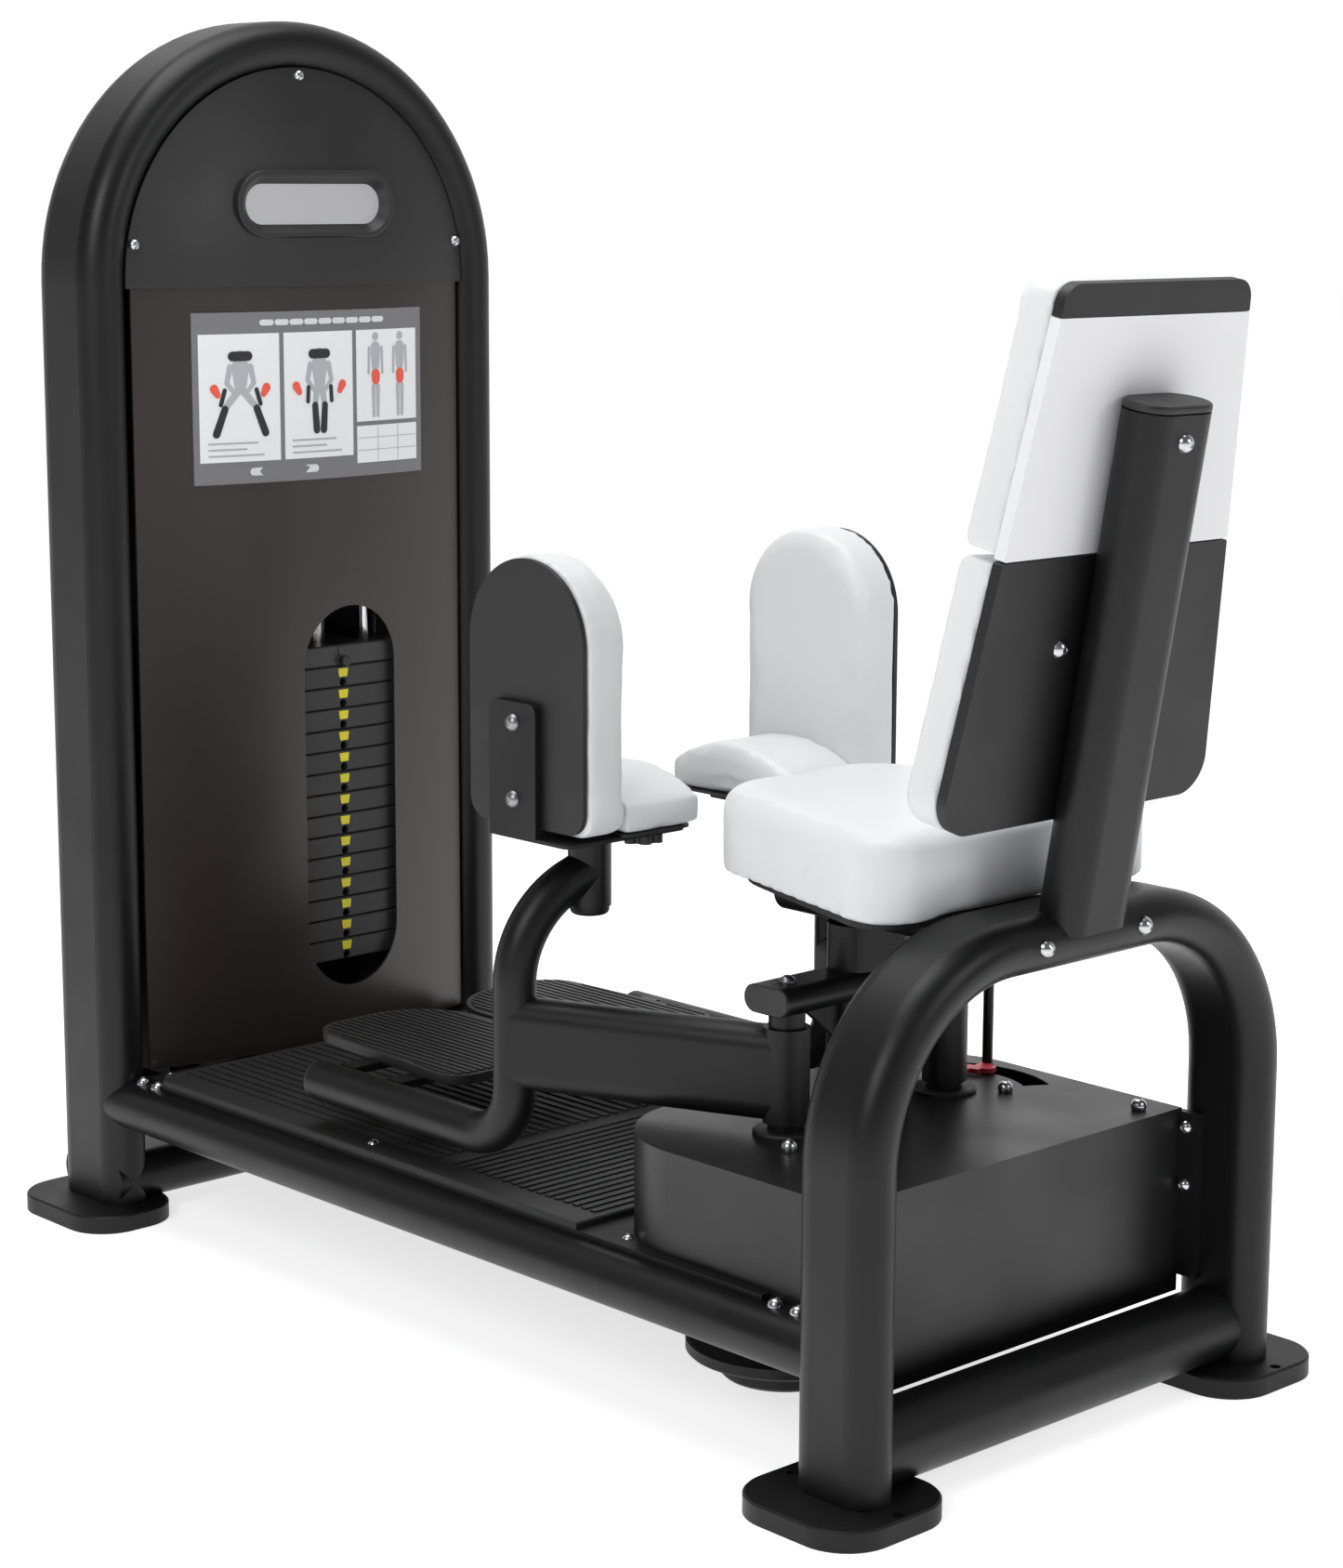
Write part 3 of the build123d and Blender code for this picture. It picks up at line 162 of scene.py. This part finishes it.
SLOTS = {
    "black_frame": powder_coat("powder coat frame"),
    "black_feet": powder_coat("powder coat feet", rough=0.5),
    "black_deck": powder_coat("powder coat deck", rough=0.5),
    "black_arm": powder_coat("powder coat arm"),
    "black_bracket": powder_coat("powder coat bracket", rough=0.5),
    "lever_black": powder_coat("powder coat lever"),
    "mount_steel": powder_coat("powder coat mounts", rough=0.5),
    "mat_rubber": plastic("ribbed rubber mat", (0.018, 0.0185, 0.0185), 0.55, 0.1, 1400.0),
    "hood_plastic": plastic("hood plastic", MOULD_BLACK_COOL, 0.45, 0.06),
    "badge_metal": metal("badge silver", (0.60, 0.60, 0.62), 0.42),
    "smoked_panel": smoked("smoked panel"),
    "placard_print": plastic("placard print", (0.18, 0.18, 0.19), 0.45, 0.03),
    "rear_panel": plastic("rear panel", (0.011, 0.011, 0.012), 0.5),
    "stack_steel": powder_coat("stack plates", (0.03, 0.03, 0.031), 0.4),
    "label_yellow": plastic("label yellow", (0.78, 0.68, 0.03), 0.5, 0.02),
    "top_plate_steel": powder_coat("top plate", (0.04, 0.04, 0.041), 0.38),
    "stem_steel": metal("stem steel", (0.5, 0.5, 0.5), 0.3, 0.05),
    "pin_steel": plastic("pin black", MOULD_BLACK_COOL, 0.4, 0.03),
    "rod_chrome": metal("guide rod chrome", (0.75, 0.75, 0.77), 0.12),
    "bumper_rubber": plastic("bumper rubber", MOULD_BLACK, 0.7, 0.3),
    "cable_black": plastic("cable cover", MOULD_BLACK, 0.35, 0.05),
    "cable_drop_black": plastic("cable cover drop", MOULD_BLACK, 0.35, 0.05),
    "pulley_plastic": plastic("pulley nylon", (0.02, 0.02, 0.02), 0.45),
    "vinyl_white": vinyl("white vinyl"),
    "seat_board_black": plastic("seat board", MOULD_BLACK, 0.6),
    "trim_plastic": plastic("black trim", TRIM_BLACK, 0.5, 0.06),
    "shell_light": plastic("light back cover", (0.80, 0.80, 0.82), 0.35, 0.05),
    "housing_plastic": plastic("housing cover", (0.005, 0.005, 0.0052), 0.38, 0.05),
    "bearing_black": powder_coat("bearing housing", (0.009, 0.009, 0.0095), 0.5, 0.2),
    "cap_plastic": plastic("end cap", MOULD_BLACK_COOL, 0.45),
    "stud_steel": metal("stud steel", (0.35, 0.35, 0.36), 0.3),
    "handle_red": plastic("red handle", (0.66, 0.06, 0.09), 0.35, 0.03),
    "bolt_chrome": metal("bolt chrome", (0.55, 0.55, 0.57), 0.22),
    "screw_chrome": metal("screw chrome", (0.7, 0.7, 0.72), 0.2),
    "gear_steel": powder_coat("painted gears", rough=0.5),
    "drum_alloy": metal("drum alloy", (0.45, 0.45, 0.46), 0.45, 0.1),
    "foot_rest_plastic": plastic("foot rest", (0.016, 0.016, 0.017), 0.5, 0.08, 1500.0),
    "board_plastic": plastic("pad board", TRIM_BLACK, 0.5, 0.06),
    "knob_plastic": plastic("knob", (0.010, 0.010, 0.0105), 0.5),
    "bolt_black": metal("pad bolt", (0.3, 0.3, 0.31), 0.35),
}

for part in frame["record"]["subparts"]:
    node = NODES[part["node"]]
    mat = SLOTS[part["material_slot"]]
    node.data.materials.clear()
    node.data.materials.append(mat)


# ---------------------------------------------------------------- mesh helpers

def mesh_object(name, verts, faces, mat):
    data = bpy.data.meshes.new(name)
    data.from_pydata([tuple(v) for v in verts], [], faces)
    data.update()
    data.materials.append(mat)
    obj = bpy.data.objects.new(name, data)
    bpy.context.scene.collection.objects.link(obj)
    return obj


def apply_modifiers(obj):
    deps = bpy.context.evaluated_depsgraph_get()
    data = bpy.data.meshes.new_from_object(obj.evaluated_get(deps))
    old = obj.data
    obj.modifiers.clear()
    obj.data = data
    if old.users == 0:
        bpy.data.meshes.remove(old)


CUSHION_VOXEL = 0.006
CUSHION_INSET = 0.0015
CUSHION_PRESSURE = 4.0
CUSHION_SWELL = 0.004
CLOTH_FRAMES = 20


def add_cloth(obj):
    cloth = obj.modifiers.new("cloth", "CLOTH")
    cloth.settings.quality = 5
    cloth.settings.mass = 0.3
    cloth.settings.tension_stiffness = 25
    cloth.settings.compression_stiffness = 25
    cloth.settings.use_pressure = True
    cloth.settings.uniform_pressure_force = CUSHION_PRESSURE
    cloth.settings.effector_weights.gravity = 0.0
    cloth.collision_settings.use_collision = False


def inflate(obj):
    # Filled cloth swells until each point has moved CUSHION_SWELL at most.
    start = [v.co.copy() for v in obj.data.vertices]
    add_cloth(obj)
    for f in range(1, CLOTH_FRAMES + 1):
        bpy.context.scene.frame_set(f)
    apply_modifiers(obj)
    bpy.context.scene.frame_set(1)
    for v, s in zip(obj.data.vertices, start):
        d = v.co - s
        if d.length > CUSHION_SWELL:
            v.co = s + d * (CUSHION_SWELL / d.length)


def cushion(node, name, body):
    # Upholstered pad: the CAD solid pulled in a little, then blown up like filled cloth.
    obj = bpy.data.objects.new(name, NODES[node].data.copy())
    bpy.context.scene.collection.objects.link(obj)
    remesh = obj.modifiers.new("remesh", "REMESH")
    remesh.mode = "VOXEL"
    remesh.voxel_size = CUSHION_VOXEL
    remesh.use_smooth_shade = True
    shrink = obj.modifiers.new("shrink", "DISPLACE")
    shrink.strength = -CUSHION_INSET
    shrink.mid_level = 0.0
    apply_modifiers(obj)
    inflate(obj)
    sub = obj.modifiers.new("sub", "SUBSURF")
    sub.levels = 1
    sub.render_levels = 1
    apply_modifiers(obj)
    obj.data.materials.clear()
    obj.data.materials.append(SLOTS["vinyl_white"])
    obj.data.shade_smooth()
    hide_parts(node)
    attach(obj, body)


for cad, piece, rides in (
    ("seat_pad", "seat_cushion", "frame"),
    ("back_pad_lower", "back_cushion_lower", "frame"),
    ("back_pad_upper", "back_cushion_upper", "frame"),
    ("thigh_pad_left", "thigh_cushion_left", "pad_left"),
    ("thigh_pad_right", "thigh_cushion_right", "pad_right"),
    ("saddle_pad_left", "saddle_cushion_left", "pad_left"),
    ("saddle_pad_right", "saddle_cushion_right", "pad_right"),
):
    cushion(cad, piece, rides)


# ---------------------------------------------------------------- placard print

# The print lies on the placard, which follows the front cover's bow (lengths in mm).
COVER_MID_Y = 1119.0
COVER_BOW_R = 789.0
PLACARD_IN = 2.2
PRINT_THICK = 0.25
STRIP_W = 12.0

PRINTS = {
    "print_white": plastic("print white", (0.82, 0.83, 0.85), 0.45, 0.02),
    "print_black": plastic("print black", (0.012, 0.012, 0.014), 0.45, 0.02),
    "print_grey": plastic("print grey", (0.42, 0.44, 0.47), 0.45, 0.02),
    "print_light": plastic("print light", (0.68, 0.69, 0.71), 0.45, 0.02),
    "print_red": plastic("print red", (0.80, 0.10, 0.06), 0.45, 0.02),
}


def cover_y(x):
    return COVER_MID_Y + COVER_BOW_R - math.sqrt(COVER_BOW_R * COVER_BOW_R - x * x)


def print_point(x, z, proud):
    return mm(x, cover_y(x) + PLACARD_IN - proud, z)


def outline_piece(outlines, proud):
    # Closed thin shapes lying on the placard, from outlines in its own x and z.
    verts = []
    faces = []
    for outline in outlines:
        n = len(outline)
        base = len(verts)
        verts.extend(print_point(x, z, proud) for x, z in outline)
        verts.extend(print_point(x, z, proud - PRINT_THICK) for x, z in outline)
        faces.append([base + i for i in range(n)])
        faces.append([base + n + i for i in reversed(range(n))])
        for i in range(n):
            j = (i + 1) % n
            faces.append([base + j, base + i, base + n + i, base + n + j])
    return verts, faces


def strips(x0, x1, z0, z1):
    # A wide rectangle is divided into strips so that it follows the curved cover.
    n = max(1, int(math.ceil((x1 - x0) / STRIP_W)))
    step = (x1 - x0) / n
    edges = [(x0 + i * step, x0 + (i + 1) * step) for i in range(n)]
    return [[(a, z0), (b, z0), (b, z1), (a, z1)] for a, b in edges]


def disc(x, z, r, n=20):
    turns = [2 * math.pi * i / n for i in range(n)]
    return [(x + r * math.cos(a), z + r * math.sin(a)) for a in turns]


def bar(x0, z0, x1, z1, w0, w1=None):
    # Rounded bar between two points.
    w1 = w0 if w1 is None else w1
    ang = math.atan2(z1 - z0, x1 - x0)
    pts = []
    for x, z, w, turn in ((x0, z0, w0, math.pi / 2), (x1, z1, w1, -math.pi / 2)):
        for i in range(7):
            a = ang + turn + math.pi * i / 6
            pts.append((x + w * math.cos(a), z + w * math.sin(a)))
    return pts


def printed(name, outlines, proud, key):
    verts, faces = outline_piece(outlines, proud)
    obj = mesh_object(name, verts, faces, PRINTS[key])
    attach(obj, "frame")


def sitting_figure(cx, cz, spread):
    # Generic seated figure seen from the front, legs together or apart.
    grey = [disc(cx, cz + 44, 6.5)]
    grey.append(bar(cx, cz + 31, cx, cz + 12, 11, 8))
    for sx in (-1, 1):
        grey.append(bar(cx + sx * 13, cz + 32, cx + sx * 17, cz + 14, 3.6, 3))
        grey.append(bar(cx + sx * 17, cz + 14, cx + sx * 8, cz + 3, 3, 2.6))
        grey.append(bar(cx + sx * 4, cz + 4, cx + sx * (6 + 12 * spread), cz - 12, 4.6, 3.8))
    black = []
    for sx in (-1, 1):
        foot = cx + sx * (5 + 26 * spread)
        black.append(bar(cx + sx * (7 + 13 * spread), cz - 15, foot, cz - 43, 4.2, 4.6))
        black.append(bar(cx + sx * (16 + 4 * spread), cz + 6,
                         cx + sx * (17 + 8 * spread), cz - 10, 2.6, 2.6))
    black.append(bar(cx - 10, cz + 44, cx + 10, cz + 44, 5.5))
    red = []
    for sx in (-1, 1):
        red.append(bar(cx + sx * 29, cz + 1, cx + sx * 33, cz + 8, 3.6, 5.2))
    return grey, black, red


def standing_figure(cx, cz):
    # Generic standing figure with the worked muscles marked.
    grey = [disc(cx, cz + 46, 5)]
    grey.append(bar(cx, cz + 33, cx, cz + 12, 7.5, 6))
    red = [bar(cx, cz + 2, cx, cz - 4, 6.5, 6)]
    for sx in (-1, 1):
        grey.append(bar(cx + sx * 10, cz + 33, cx + sx * 11, cz + 4, 2, 1.8))
        grey.append(bar(cx + sx * 3.6, cz - 12, cx + sx * 3.2, cz - 46, 3, 2.2))
    return grey, red


def placard_lines():
    # Rules below the two seated figures, and the grid of the small table.
    lines = []
    for x0 in (-148, -40):
        for z, w in ((888, 62), (881, 48), (874, 70)):
            lines.extend(strips(x0, x0 + w, z, z + 2.2))
    for i in range(1, 3):
        lines.extend(strips(56, 150, 858 + i * 14.3, 858.8 + i * 14.3))
        lines.extend(strips(54 + i * 32.6, 54.8 + i * 32.6, 859, 900))
    return lines


def placard_print():
    panels = strips(-158, -56, 868, 1012) + strips(-50, 48, 868, 1012)
    panels += strips(54, 152, 906, 1012) + strips(54, 152, 858, 901)
    printed("placard_panels", panels, 0.5, "print_white")
    title = [bar(-78 + i * 20, 1024, -66 + i * 20, 1024, 3.4) for i in range(9)]
    printed("placard_title", title, 0.6, "print_light")
    printed("placard_foot", [bar(-92, 856, -8, 856, 4.4)], 0.6, "print_light")
    grey, black, red = sitting_figure(-107, 943, 1.0)
    g, b, r = sitting_figure(-1, 943, 0.0)
    grey += g
    black += b
    red += r
    for cx in (84, 124):
        g, r = standing_figure(cx, 958)
        grey += g
        red += r
    grey += placard_lines()
    printed("placard_figures_grey", grey, 0.8, "print_grey")
    printed("placard_figures_black", black, 1.1, "print_black")
    printed("placard_figures_red", red, 1.3, "print_red")


placard_print()


# ---------------------------------------------------------------- floor, light, camera

FLOOR_SIZE = 60.0
FLOOR_DROP = 0.0005
WHITE = (1.0, 1.0, 1.0, 1.0)

# The studio's bright wall lies in this direction, behind the machine.
WALL_DIR = (0.683, 0.730, 0.0)
WALL_FROM = 0.1
WALL_FULL = 0.75
DIM_STRENGTH = 0.14
WALL_STRENGTH = 1.02

CAM_PLACE = mm(-2312.9, -1944.2, 1185.7)
CAM_AZIMUTH = math.radians(-43.1103)
CAM_ELEVATION = math.radians(10.3913)
CAM_ROLL = math.radians(0.21986)
CAM_LENS = 75.744
CAM_SENSOR = 36.0


def add_floor():
    bpy.ops.mesh.primitive_plane_add(size=FLOOR_SIZE, location=(0, 0, -FLOOR_DROP))
    floor = bpy.context.object
    floor.name = "floor"
    mat, shader, _ = new_material("floor", (0.80, 0.80, 0.80), 0.9)
    shader.inputs["Specular IOR Level"].default_value = 0.0
    shader.inputs["Emission Color"].default_value = WHITE
    shader.inputs["Emission Strength"].default_value = 0.72
    floor.data.materials.append(mat)


def add_world(scene):
    # Bright studio wall behind the machine, dim room on the other sides.
    world = bpy.data.worlds.new("world")
    scene.world = world
    world.use_nodes = True
    tree = world.node_tree
    back = tree.nodes["Background"]
    coord = tree.nodes.new("ShaderNodeTexCoord")
    dot = tree.nodes.new("ShaderNodeVectorMath")
    dot.operation = "DOT_PRODUCT"
    dot.inputs[1].default_value = WALL_DIR
    tree.links.new(coord.outputs["Generated"], dot.inputs[0])
    shade = tree.nodes.new("ShaderNodeMapRange")
    shade.inputs["From Min"].default_value = WALL_FROM
    shade.inputs["From Max"].default_value = WALL_FULL
    shade.inputs["To Min"].default_value = DIM_STRENGTH
    shade.inputs["To Max"].default_value = WALL_STRENGTH
    tree.links.new(dot.outputs["Value"], shade.inputs["Value"])
    tree.links.new(shade.outputs["Result"], back.inputs["Strength"])
    back.inputs["Color"].default_value = WHITE


def area_light(scene, name, place, target, size, power):
    light = bpy.data.lights.new(name, "AREA")
    light.shape = "RECTANGLE"
    light.size, light.size_y = size
    light.energy = power
    obj = bpy.data.objects.new(name, light)
    scene.collection.objects.link(obj)
    obj.location = place
    aim = Vector(target) - Vector(place)
    obj.rotation_euler = aim.to_track_quat("-Z", "Y").to_euler()


def add_camera(scene):
    cam_data = bpy.data.cameras.new("camera")
    cam_data.sensor_fit = "VERTICAL"
    cam_data.sensor_height = CAM_SENSOR
    cam_data.lens = CAM_LENS
    cam = bpy.data.objects.new("camera", cam_data)
    scene.collection.objects.link(cam)
    flat = math.cos(CAM_ELEVATION)
    back_dir = Vector((math.sin(CAM_AZIMUTH) * flat, -math.cos(CAM_AZIMUTH) * flat,
                       math.sin(CAM_ELEVATION)))
    level = Vector((math.cos(CAM_AZIMUTH), math.sin(CAM_AZIMUTH), 0.0))
    right = level * math.cos(CAM_ROLL) + back_dir.cross(level) * math.sin(CAM_ROLL)
    up = back_dir.cross(right)
    rot = Matrix((right, up, back_dir)).transposed()
    cam.matrix_world = Matrix.Translation(CAM_PLACE) @ rot.to_4x4()
    scene.camera = cam


def studio():
    scene = bpy.context.scene
    add_floor()
    add_world(scene)
    area_light(scene, "key", (-3.2, -1.0, 2.6), (0, 0, 0.6), (1.6, 1.6), 44)
    area_light(scene, "top", (-0.2, 0.2, 3.6), (0, 0, 0.4), (2.2, 2.6), 74)
    area_light(scene, "rear fill", (1.0, -3.6, 2.2), (0, 0, 0.6), (1.2, 1.2), 22)
    add_camera(scene)
    scene.view_settings.view_transform = "Standard"
    scene.view_settings.look = "None"


studio()
